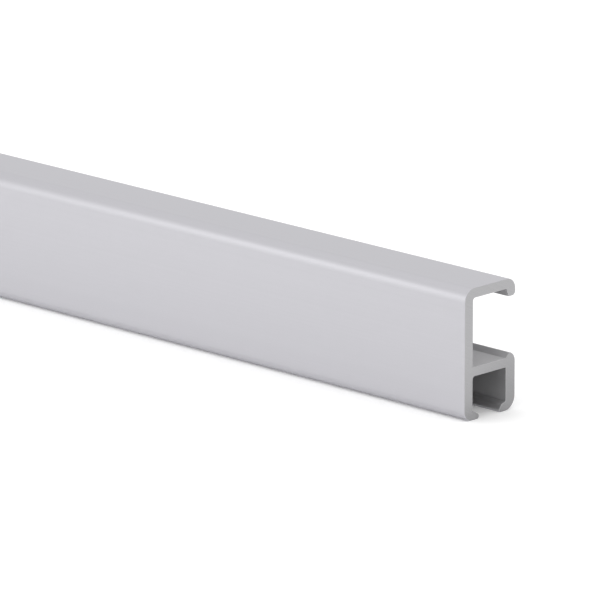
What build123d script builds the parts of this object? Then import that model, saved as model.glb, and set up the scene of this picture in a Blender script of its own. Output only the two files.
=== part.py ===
"""Click-on hanging rail: one length of extruded aluminium profile.

The rail lies along X, with its smooth front face towards -Y and its back, which goes against the wall,
towards +Y. It stands on the bottom of its section, at z = 0, and the origin is the middle of its footprint.
The section has two spaces: the upper one is open to the back and snaps over clips on the wall, the lower one
is a channel with a slot underneath, where hooks slide along.
"""

import os

from build123d import *

# Overall sizes, in millimetres
LENGTH = 1000.0
HEIGHT = 25.0
DEPTH = 13.5

# Wall thicknesses
FRONT_WALL = 2.2
TOP_WALL = 1.9
SHELF_WALL = 1.75
BACK_WALL = 2.4

# The shelf between the two spaces, with the ridge that the wall clip snaps over
SHELF_TOP = 10.0
RIDGE_RISE = 0.95
RIDGE_RAMP = 1.0
RIDGE_SETBACK = 1.5
RIDGE_CROWN = 1.8

# The hook that turns down from the back of the top wall
HOOK_DROP = 1.5
HOOK_ROOT = 2.4
HOOK_TIP = 1.9
HOOK_RADIUS = 0.8

# The bead at the foot of the front wall, on the front side of the slot
BEAD_HEIGHT = 1.8
BEAD_REACH = 1.7
BEAD_TIP = 0.85
BEAD_NOSE = 0.5

# The lip at the foot of the back wall, on the back side of the slot
LIP_THICKNESS = 1.8
LIP_REACH = 1.7
LIP_RUN = 1.15
LIP_FALL = 0.35
LIP_TIP = 0.5
LIP_NOSE = 0.3

# Radii of the outer corners, of the corners inside the front wall, and of every other edge
TOP_FRONT_RADIUS = 2.5
TOP_BACK_RADIUS = 2.2
FRONT_FOOT_RADIUS = 2.0
BACK_FOOT_RADIUS = 2.6
ROOT_RADIUS = 0.6
EDGE_RADIUS = 0.2

# The most of the bead tip's height that one of its two roundings may take
NOSE_SHARE = 0.6

# Faces of the walls, seen from the end of the rail
front = -DEPTH / 2
back = DEPTH / 2
front_inner = front + FRONT_WALL
back_inner = back - BACK_WALL
top_inner = HEIGHT - TOP_WALL
shelf_under = SHELF_TOP - SHELF_WALL

# Tips and corners of the hook, the ridge, the bead and the lip
hook_bottom = top_inner - HOOK_DROP
ridge_top = SHELF_TOP + RIDGE_RISE
ridge_peak = back - RIDGE_SETBACK
ridge_foot = ridge_peak - RIDGE_RAMP
crown_start = ridge_top - RIDGE_CROWN
bead_tip = front_inner + BEAD_REACH
lip_tip = back_inner - LIP_REACH
lip_shoulder = (back_inner - LIP_RUN, LIP_THICKNESS - LIP_FALL)

# Roundings of the two tips, limited by the heights of the tips
bead_nose = min(BEAD_NOSE, NOSE_SHARE * BEAD_TIP)
lip_nose = min(LIP_NOSE, LIP_TIP - EDGE_RADIUS)


def corner(y, z):
    """The corner of the section that is nearest to a point."""
    return section.vertices().sort_by_distance((y, z))[0]


with BuildPart() as rail_profile:
    with BuildSketch(Plane.YZ.offset(-LENGTH / 2)) as section:
        # Front wall and top wall
        with Locations((front, 0)):
            Rectangle(FRONT_WALL, HEIGHT, align=(Align.MIN, Align.MIN))
        with Locations((front, top_inner)):
            Rectangle(DEPTH, TOP_WALL, align=(Align.MIN, Align.MIN))

        # Hook, a little thinner at its tip
        Polygon(
            (back - HOOK_ROOT, top_inner),
            (back - HOOK_TIP, hook_bottom),
            (back, hook_bottom),
            (back, top_inner),
            align=None,
        )

        # Shelf and back wall
        with Locations((front, shelf_under)):
            Rectangle(ridge_foot - front, SHELF_WALL, align=(Align.MIN, Align.MIN))
        with Locations((back_inner, 0)):
            Rectangle(BACK_WALL, shelf_under, align=(Align.MIN, Align.MIN))

        # Ridge: a ramp up from the shelf, then a round crown down to the back face
        with BuildLine():
            crown = TangentArc((back, crown_start), (ridge_peak, ridge_top), tangent=(0, 1))
            Polyline(
                crown @ 1,
                (ridge_foot, SHELF_TOP),
                (ridge_foot, shelf_under),
                (back, shelf_under),
                crown @ 0,
            )
        make_face()

        # Bead, which slopes down from the front wall to its tip
        Polygon(
            (front, 0),
            (bead_tip, 0),
            (bead_tip, BEAD_TIP),
            (front_inner, BEAD_HEIGHT),
            (front, BEAD_HEIGHT),
            align=None,
        )

        # Lip, which falls a little to its shoulder, where the hooks ride, and then steeply to its tip
        Polygon(
            (lip_tip, 0),
            (lip_tip, LIP_TIP),
            lip_shoulder,
            (back_inner, LIP_THICKNESS),
            (back, LIP_THICKNESS),
            (back, 0),
            align=None,
        )

        # Rounded corners, from the outside in
        fillet(corner(front, HEIGHT), radius=TOP_FRONT_RADIUS)
        fillet(corner(back, HEIGHT), radius=TOP_BACK_RADIUS)
        fillet(corner(front, 0), radius=FRONT_FOOT_RADIUS)
        fillet(corner(back, 0), radius=BACK_FOOT_RADIUS)
        fillet(corner(back, hook_bottom), radius=HOOK_RADIUS)
        fillet([corner(bead_tip, 0), corner(bead_tip, BEAD_TIP)], radius=bead_nose)
        fillet(corner(lip_tip, 0), radius=lip_nose)
        fillet([corner(front_inner, top_inner), corner(front_inner, shelf_under)], radius=ROOT_RADIUS)
        small_edges = [
            corner(back - HOOK_ROOT, top_inner),
            corner(back - HOOK_TIP, hook_bottom),
            corner(front_inner, BEAD_HEIGHT),
            corner(front_inner, SHELF_TOP),
            corner(ridge_foot, SHELF_TOP),
            corner(ridge_peak, ridge_top),
            corner(back_inner, shelf_under),
            corner(back_inner, LIP_THICKNESS),
            corner(*lip_shoulder),
            corner(lip_tip, LIP_TIP),
        ]
        fillet(small_edges, radius=EDGE_RADIUS)
    extrude(amount=LENGTH)

rail_profile.part.label = "rail_profile"

os.makedirs("parts", exist_ok=True)
export_step(rail_profile.part, "parts/rail_profile.step")
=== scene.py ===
"""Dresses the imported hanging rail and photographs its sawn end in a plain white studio.

The rail's section is drawn again from the sizes of its walls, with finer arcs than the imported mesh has, and
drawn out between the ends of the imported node. The long surfaces get a satin anodised finish with faint lines
along the extrusion, and the two ends get a sawn one.
"""

import math

import bpy
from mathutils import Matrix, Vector


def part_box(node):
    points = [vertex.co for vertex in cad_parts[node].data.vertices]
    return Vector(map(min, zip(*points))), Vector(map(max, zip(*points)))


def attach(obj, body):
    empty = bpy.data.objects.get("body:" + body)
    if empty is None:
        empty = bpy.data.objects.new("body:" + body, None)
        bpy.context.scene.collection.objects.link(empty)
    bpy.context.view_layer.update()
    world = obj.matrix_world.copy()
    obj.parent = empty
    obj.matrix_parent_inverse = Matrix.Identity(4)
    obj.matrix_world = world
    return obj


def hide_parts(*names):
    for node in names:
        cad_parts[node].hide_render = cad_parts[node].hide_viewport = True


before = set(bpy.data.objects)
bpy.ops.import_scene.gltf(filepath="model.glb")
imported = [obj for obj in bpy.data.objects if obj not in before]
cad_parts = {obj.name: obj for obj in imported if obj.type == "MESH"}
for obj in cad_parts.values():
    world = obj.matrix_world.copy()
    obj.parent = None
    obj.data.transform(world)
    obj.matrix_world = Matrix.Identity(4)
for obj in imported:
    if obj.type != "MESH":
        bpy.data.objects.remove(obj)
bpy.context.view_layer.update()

# One millimetre, in metres
MM = 0.001

# Sizes of the section are in millimetres, beginning with its walls
FRONT_WALL = 2.2
TOP_WALL = 1.9
SHELF_WALL = 1.75
BACK_WALL = 2.4

# The shelf between the two spaces, and the ridge at its back
SHELF_TOP = 10.0
RIDGE_RISE = 0.95
RIDGE_RAMP = 1.0
RIDGE_SETBACK = 1.5
RIDGE_CROWN = 1.8

# The hook at the back of the top wall
HOOK_DROP = 1.5
HOOK_ROOT = 2.4
HOOK_TIP = 1.9
HOOK_RADIUS = 0.8

# The bead at the foot of the front wall
BEAD_HEIGHT = 1.8
BEAD_REACH = 1.7
BEAD_TIP = 0.85
BEAD_NOSE = 0.5

# The lip at the foot of the back wall
LIP_THICKNESS = 1.8
LIP_REACH = 1.7
LIP_RUN = 1.15
LIP_FALL = 0.35
LIP_TIP = 0.5
LIP_NOSE = 0.3

# Radii of the outer corners, of the corners inside the front wall, and of every other edge
TOP_FRONT_RADIUS = 2.5
TOP_BACK_RADIUS = 2.2
FRONT_FOOT_RADIUS = 2.0
BACK_FOOT_RADIUS = 2.6
ROOT_RADIUS = 0.6
EDGE_RADIUS = 0.2

# The break of the sawn edges, and how near a wall a face's middle counts as on it
END_BREAK = 0.05
NEAR = 0.01

# The longest step of an arc, and the angle from which an edge is shown sharp
ARC_STEP = math.radians(6)
SHARP_ANGLE = math.radians(25)

# Material slots of the rail, in the order in which its materials are added
OUTSIDE, CLIP_SPACE, CHANNEL, SAWN = range(4)

# Colour and roughness of the anodised finish outside, round the clip space and in the channel
OUTER_COLOUR = (0.534, 0.529, 0.556)
OUTER_ROUGHNESS = 0.5
CLIP_SPACE_COLOUR = (0.545, 0.542, 0.552)
CLIP_SPACE_ROUGHNESS = 0.8
CHANNEL_COLOUR = (0.535, 0.533, 0.542)
CHANNEL_ROUGHNESS = 0.58

# Lines of the die: how fine along X, Y and Z, how deep in millimetres, and how far they tint the metal
LINE_SCALE = (1.5, 2600, 2600)
LINE_DEPTH = 0.003
LINE_TINT = 0.02

# Grain of the anodised skin: how fine it is, and how far it moves the roughness
SKIN_GRAIN = 9000.0
SKIN_SWING = 0.02

# Colour and roughness of the sawn ends, how fine their grain is, and how far it moves the roughness
SAWN_COLOUR = (0.385, 0.383, 0.391)
SAWN_ROUGHNESS = 0.16
SAWN_GRAIN = 5000.0
SAWN_SWING = 0.04

# Painted shade: how much darker the sawn ends are made round the foot of the back wall, and how far it
# reaches, in millimetres
SAWN_PAINTED_SHADE = 0.22
SAWN_PAINTED_SHADE_REACH = 17.0

# Marks of the saw: the middle of its blade in Y and Z, the distance between the marks and their depth, in
# millimetres, and how far they tint the metal
BLADE_CENTRE = (-70.0, -120.0)
TOOTH_SPACING = 0.35
TOOTH_DEPTH = 0.005
TOOTH_TINT = 0.04

# How strongly every bump shows, and the range that noise mostly lies in
BUMP_STRENGTH = 0.5
NOISE_LOW = 0.3
NOISE_HIGH = 0.7

# How brightly the white surroundings light the rail. The camera and reflections see them at 1.
WORLD_LEVEL = 0.95

# The paper floor: its colour, the little light of its own that only the camera and reflections see, and half
# its side in metres
WHITE = (1, 1, 1, 1)
FLOOR_COLOUR = (0.97, 0.97, 0.97, 1)
FLOOR_LIFT = 0.1
FLOOR_HALF = 40.0

# Three soft lamps. Each has the point that it shines at, the direction from there to the lamp, its distance
# and its width in metres, and its power in watts. The key lamp stands at the front left.
KEY_AIM = (0.52, 0, 0.012)
KEY_DIRECTION = (-0.673, -0.657, 0.338)
KEY_DISTANCE = 0.35
KEY_SIZE = 0.07
KEY_POWER = 0.058

# The fill lamp stands low down at the front left
FILL_AIM = (0.2, 0, 0.012)
FILL_DIRECTION = (-0.70, -0.71, 0.08)
FILL_DISTANCE = 1.5
FILL_SIZE = 0.2
FILL_POWER = 0.88

# The top lamp hangs above
TOP_AIM = (0.4, -0.03, 0)
TOP_DIRECTION = (0.1, -0.1, 0.98)
TOP_DISTANCE = 1.2
TOP_SIZE = 0.8
TOP_POWER = 2.65

# The photograph's camera: its place in metres, how far it stands round from the front and above the level, in
# degrees, and its lens and the width of its sensor, in millimetres
CAMERA_PLACE = (1.432149, -1.006624, 0.394116)
CAMERA_AZIMUTH = 44.248
CAMERA_ELEVATION = 15.185
CAMERA_LENS = 468
CAMERA_SENSOR = 36

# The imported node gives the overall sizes
low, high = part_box("rail_profile")
front, back = low[1] / MM, high[1] / MM
height = high[2] / MM

# Faces of the walls, and tips and corners of the hook, the ridge, the bead and the lip
front_inner = front + FRONT_WALL
back_inner = back - BACK_WALL
top_inner = height - TOP_WALL
shelf_under = SHELF_TOP - SHELF_WALL
hook_bottom = top_inner - HOOK_DROP
ridge_top = SHELF_TOP + RIDGE_RISE
ridge_peak = back - RIDGE_SETBACK
ridge_foot = ridge_peak - RIDGE_RAMP
bead_tip = front_inner + BEAD_REACH
lip_tip = back_inner - LIP_REACH
lip_shoulder = back_inner - LIP_RUN


def arc(centre, radius, start, end):
    """Points of an arc, both ends included. Angles are in radians, from +Y towards +Z."""
    steps = max(2, math.ceil(abs(end - start) / ARC_STEP))
    angles = [start + (end - start) * i / steps for i in range(steps + 1)]
    return [centre + radius * Vector((math.cos(a), math.sin(a))) for a in angles]


def rounded(before, corner, after, radius):
    """The arc that rounds one corner of an outline."""
    to_before = (before - corner).normalized()
    to_after = (after - corner).normalized()
    half = to_before.angle(to_after) / 2
    centre = corner + (to_before + to_after).normalized() * radius / math.sin(half)
    first = corner + to_before * radius / math.tan(half) - centre
    last = corner + to_after * radius / math.tan(half) - centre
    start = math.atan2(first.y, first.x)
    turn = first.angle_signed(last)
    return arc(centre, radius, start, start - turn)


def section_outline():
    """The outline of the section, anticlockwise as seen from the +X end, in millimetres."""
    crown_radius = (RIDGE_SETBACK ** 2 + RIDGE_CROWN ** 2) / (2 * RIDGE_SETBACK)
    crown_centre = Vector((back - crown_radius, ridge_top - RIDGE_CROWN))
    crown_end = math.asin(RIDGE_CROWN / crown_radius)
    crown = arc(crown_centre, crown_radius, 0, crown_end)

    # Every corner with its radius. The crown's last point is the peak of the ridge, which has a radius.
    corners = [
        (front, 0, FRONT_FOOT_RADIUS),
        (bead_tip, 0, BEAD_NOSE),
        (bead_tip, BEAD_TIP, BEAD_NOSE),
        (front_inner, BEAD_HEIGHT, EDGE_RADIUS),
        (front_inner, shelf_under, ROOT_RADIUS),
        (back_inner, shelf_under, EDGE_RADIUS),
        (back_inner, LIP_THICKNESS, EDGE_RADIUS),
        (lip_shoulder, LIP_THICKNESS - LIP_FALL, EDGE_RADIUS),
        (lip_tip, LIP_TIP, EDGE_RADIUS),
        (lip_tip, 0, LIP_NOSE),
        (back, 0, BACK_FOOT_RADIUS),
        *[(point.x, point.y, 0) for point in crown[:-1]],
        (ridge_peak, ridge_top, EDGE_RADIUS),
        (ridge_foot, SHELF_TOP, EDGE_RADIUS),
        (front_inner, SHELF_TOP, EDGE_RADIUS),
        (front_inner, top_inner, ROOT_RADIUS),
        (back - HOOK_ROOT, top_inner, EDGE_RADIUS),
        (back - HOOK_TIP, hook_bottom, EDGE_RADIUS),
        (back, hook_bottom, HOOK_RADIUS),
        (back, height, TOP_BACK_RADIUS),
        (front, height, TOP_FRONT_RADIUS),
    ]
    places = [Vector((y, z)) for y, z, _ in corners]
    outline = []
    for i, (_, _, radius) in enumerate(corners):
        if radius:
            outline += rounded(places[i - 1], places[i], places[(i + 1) % len(places)], radius)
        else:
            outline.append(places[i])
    return outline


def inset(outline, distance):
    """The outline moved into the material, by the same distance everywhere."""
    moved = []
    for i, point in enumerate(outline):
        along_in = (point - outline[i - 1]).normalized()
        along_out = (outline[(i + 1) % len(outline)] - point).normalized()
        inward = Vector((-along_in.y - along_out.y, along_in.x + along_out.x)).normalized()
        half = along_in.angle(along_out, 0) / 2
        moved.append(point + inward * distance / math.cos(half))
    return moved


def side_slot(face):
    """The material slot of a long face. The underside, as far up as the lip's lower rounding, is outside."""
    _, y, z = face.center / MM
    if not front_inner - NEAR < y < ridge_peak or not LIP_NOSE < z < top_inner + NEAR:
        return OUTSIDE
    return CLIP_SPACE if z > SHELF_TOP - NEAR else CHANNEL


def rail_mesh():
    """The rail as one closed mesh: rings along X, and a face on each end."""
    outline = section_outline()
    broken = inset(outline, END_BREAK)
    x_low, x_high = low[0] / MM, high[0] / MM
    rings = [
        (x_low, broken),
        (x_low + END_BREAK, outline),
        (x_high - END_BREAK, outline),
        (x_high, broken),
    ]
    vertices = [(x * MM, point.x * MM, point.y * MM) for x, ring in rings for point in ring]

    # Faces between each ring and the next, then the two ends
    count = len(outline)
    last_ring = (len(rings) - 1) * count
    faces = []
    for here in range(0, last_ring, count):
        for i in range(count):
            j = (i + 1) % count
            faces.append((here + i, here + j, here + count + j, here + count + i))
    sides = len(faces)
    faces.append(tuple(reversed(range(count))))
    faces.append(tuple(range(last_ring, last_ring + count)))

    mesh = bpy.data.meshes.new("rail")
    mesh.from_pydata(vertices, [], faces)
    mesh.polygons.foreach_set("use_smooth", [True] * sides + [False] * 2)
    slots = [side_slot(face) for face in mesh.polygons[:sides]]
    mesh.polygons.foreach_set("material_index", slots + [SAWN] * 2)
    mesh.update()
    mesh.set_sharp_from_angle(angle=SHARP_ANGLE)
    return mesh


def material(name):
    """A node material, with its node tree and its Principled shader."""
    made = bpy.data.materials.new(name)
    made.use_nodes = True
    return made, made.node_tree, made.node_tree.nodes["Principled BSDF"]


def object_position(tree, scale=(1, 1, 1)):
    """Object coordinates in metres, stretched by a scale on each axis."""
    place = tree.nodes.new("ShaderNodeTexCoord")
    mapping = tree.nodes.new("ShaderNodeMapping")
    mapping.inputs["Scale"].default_value = scale
    tree.links.new(place.outputs["Object"], mapping.inputs["Vector"])
    return mapping.outputs["Vector"]


def distance_from(tree, y, z):
    """Distance in metres from a line along X, through a point given in millimetres."""
    node = tree.nodes.new("ShaderNodeVectorMath")
    node.operation = "DISTANCE"
    node.inputs[1].default_value = (0, y * MM, z * MM)
    tree.links.new(object_position(tree, (0, 1, 1)), node.inputs[0])
    return node.outputs["Value"]


def noise(tree, vector, scale, detail):
    """Noise from 0 to 1 at a position: the scale sets how fine it is, the detail adds finer noise to it."""
    node = tree.nodes.new("ShaderNodeTexNoise")
    node.inputs["Scale"].default_value = scale
    node.inputs["Detail"].default_value = detail
    tree.links.new(vector, node.inputs["Vector"])
    return node.outputs["Fac"]


def around(tree, value, middle, swing):
    """Turns noise into a value that swings around a middle."""
    node = tree.nodes.new("ShaderNodeMapRange")
    node.inputs["From Min"].default_value = NOISE_LOW
    node.inputs["From Max"].default_value = NOISE_HIGH
    node.inputs["To Min"].default_value = middle - swing
    node.inputs["To Max"].default_value = middle + swing
    tree.links.new(value, node.inputs["Value"])
    return node.outputs["Result"]


def tint(tree, value, colour, swing):
    """A colour that a 0 to 1 value makes a little darker or lighter."""
    node = tree.nodes.new("ShaderNodeMix")
    node.data_type = "RGBA"
    node.inputs["A"].default_value = (*[c * (1 - swing) for c in colour], 1)
    node.inputs["B"].default_value = (*[c * (1 + swing) for c in colour], 1)
    tree.links.new(value, node.inputs["Factor"])
    return node.outputs["Result"]


def bump(tree, value, depth):
    """A surface that a 0 to 1 value raises, by up to a depth in millimetres."""
    node = tree.nodes.new("ShaderNodeBump")
    node.inputs["Distance"].default_value = depth * MM
    node.inputs["Strength"].default_value = BUMP_STRENGTH
    tree.links.new(value, node.inputs["Height"])
    return node.outputs["Normal"]


def anodised(name, colour, roughness):
    """Satin natural anodising over the faint lines that the die leaves along the rail."""
    made, tree, shader = material(name)
    lines = noise(tree, object_position(tree, LINE_SCALE), scale=1.0, detail=3.0)
    grain = noise(tree, object_position(tree), scale=SKIN_GRAIN, detail=2.0)
    tree.links.new(tint(tree, lines, colour, LINE_TINT), shader.inputs["Base Color"])
    tree.links.new(around(tree, grain, roughness, SKIN_SWING), shader.inputs["Roughness"])
    tree.links.new(bump(tree, lines, LINE_DEPTH), shader.inputs["Normal"])
    shader.inputs["Metallic"].default_value = 1.0
    return made


def tooth_marks(tree):
    """The arcs of the saw blade: noise that changes only with the distance from the blade's middle."""
    node = tree.nodes.new("ShaderNodeTexNoise")
    node.noise_dimensions = "1D"
    node.inputs["Scale"].default_value = 1 / (TOOTH_SPACING * MM)
    node.inputs["Detail"].default_value = 2.0
    tree.links.new(distance_from(tree, *BLADE_CENTRE), node.inputs["W"])
    return node.outputs["Fac"]


def painted_shade_at_back_foot(tree, colour):
    """Paints shade into a colour: darker round the foot of the back wall, fading out over the reach."""
    level = tree.nodes.new("ShaderNodeMapRange")
    level.interpolation_type = "SMOOTHSTEP"
    level.inputs["From Max"].default_value = SAWN_PAINTED_SHADE_REACH * MM
    level.inputs["To Min"].default_value = 1 - SAWN_PAINTED_SHADE
    tree.links.new(distance_from(tree, back - BACK_WALL / 2, LIP_THICKNESS), level.inputs["Value"])
    darkened = tree.nodes.new("ShaderNodeVectorMath")
    darkened.operation = "SCALE"
    tree.links.new(colour, darkened.inputs[0])
    tree.links.new(level.outputs["Result"], darkened.inputs["Scale"])
    return darkened.outputs["Vector"]


def sawn(name, colour, roughness):
    """Bare metal with the shallow arcs of a saw blade."""
    made, tree, shader = material(name)
    marks = tooth_marks(tree)
    grain = noise(tree, object_position(tree), scale=SAWN_GRAIN, detail=3.0)
    marked = tint(tree, marks, colour, TOOTH_TINT)
    # The base colour carries painted shade, darker round the foot of the back wall
    tree.links.new(painted_shade_at_back_foot(tree, marked), shader.inputs["Base Color"])
    tree.links.new(around(tree, grain, roughness, SAWN_SWING), shader.inputs["Roughness"])
    tree.links.new(bump(tree, marks, TOOTH_DEPTH), shader.inputs["Normal"])
    shader.inputs["Metallic"].default_value = 1.0
    return made


def seen_as_background(tree):
    """1 for the rays that should see a white background: the camera's, reflected and refracted ones."""
    path = tree.nodes.new("ShaderNodeLightPath")
    total = path.outputs["Is Camera Ray"]
    for name in ("Is Glossy Ray", "Is Transmission Ray"):
        either = tree.nodes.new("ShaderNodeMath")
        either.operation = "MAXIMUM"
        tree.links.new(total, either.inputs[0])
        tree.links.new(path.outputs[name], either.inputs[1])
        total = either.outputs["Value"]
    return total


def studio_world():
    """White surroundings, which light the rail a little less than they show."""
    world = bpy.data.worlds.new("studio")
    bpy.context.scene.world = world
    world.use_nodes = True
    tree = world.node_tree
    shader = tree.nodes["Background"]
    shader.inputs["Color"].default_value = WHITE
    level = tree.nodes.new("ShaderNodeMapRange")
    level.inputs["To Min"].default_value = WORLD_LEVEL
    tree.links.new(seen_as_background(tree), level.inputs["Value"])
    tree.links.new(level.outputs["Result"], shader.inputs["Strength"])


def studio_floor():
    """A wide white floor under the rail, which keeps its shadow."""
    corners = [
        (-FLOOR_HALF, -FLOOR_HALF, 0),
        (FLOOR_HALF, -FLOOR_HALF, 0),
        (FLOOR_HALF, FLOOR_HALF, 0),
        (-FLOOR_HALF, FLOOR_HALF, 0),
    ]
    mesh = bpy.data.meshes.new("floor")
    mesh.from_pydata(corners, [], [(0, 1, 2, 3)])
    floor = bpy.data.objects.new("floor", mesh)
    bpy.context.scene.collection.objects.link(floor)
    made, tree, shader = material("white_paper")
    shader.inputs["Base Color"].default_value = FLOOR_COLOUR
    shader.inputs["Roughness"].default_value = 1.0
    shader.inputs["Specular IOR Level"].default_value = 0.0
    shader.inputs["Emission Color"].default_value = WHITE
    lift = tree.nodes.new("ShaderNodeMapRange")
    lift.inputs["To Max"].default_value = FLOOR_LIFT
    tree.links.new(seen_as_background(tree), lift.inputs["Value"])
    tree.links.new(lift.outputs["Result"], shader.inputs["Emission Strength"])
    floor.data.materials.append(made)


def area_light(name, aim, direction, distance, size, power):
    """A round lamp that shines at a point, from a distance in the given direction."""
    data = bpy.data.lights.new(name, "AREA")
    data.shape = "DISK"
    data.size = size
    data.energy = power
    lamp = bpy.data.objects.new(name, data)
    away = Vector(direction).normalized()
    lamp.location = Vector(aim) + away * distance
    lamp.rotation_mode = "QUATERNION"
    lamp.rotation_quaternion = away.to_track_quat("Z", "Y")
    bpy.context.scene.collection.objects.link(lamp)


def camera():
    """The photograph's view: a long lens, held level, from the front right and a little above."""
    azimuth = math.radians(CAMERA_AZIMUTH)
    elevation = math.radians(CAMERA_ELEVATION)
    away = Vector((
        math.sin(azimuth) * math.cos(elevation),
        -math.cos(azimuth) * math.cos(elevation),
        math.sin(elevation),
    ))
    data = bpy.data.cameras.new("camera")
    data.lens = CAMERA_LENS
    data.sensor_width = CAMERA_SENSOR
    made = bpy.data.objects.new("camera", data)
    made.location = CAMERA_PLACE
    made.rotation_mode = "QUATERNION"
    made.rotation_quaternion = away.to_track_quat("Z", "Y")
    bpy.context.scene.collection.objects.link(made)
    bpy.context.scene.camera = made


rail = bpy.data.objects.new("rail", rail_mesh())
bpy.context.scene.collection.objects.link(rail)
rail.data.materials.append(anodised("anodised_outside", OUTER_COLOUR, OUTER_ROUGHNESS))
rail.data.materials.append(anodised("anodised_clip_space", CLIP_SPACE_COLOUR, CLIP_SPACE_ROUGHNESS))
rail.data.materials.append(anodised("anodised_channel", CHANNEL_COLOUR, CHANNEL_ROUGHNESS))
rail.data.materials.append(sawn("sawn_aluminium", SAWN_COLOUR, SAWN_ROUGHNESS))
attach(rail, "root")
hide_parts("rail_profile")

studio_world()
studio_floor()
area_light("key", KEY_AIM, KEY_DIRECTION, KEY_DISTANCE, KEY_SIZE, KEY_POWER)
area_light("fill", FILL_AIM, FILL_DIRECTION, FILL_DISTANCE, FILL_SIZE, FILL_POWER)
area_light("top", TOP_AIM, TOP_DIRECTION, TOP_DISTANCE, TOP_SIZE, TOP_POWER)
camera()

bpy.context.scene.view_settings.view_transform = "Standard"
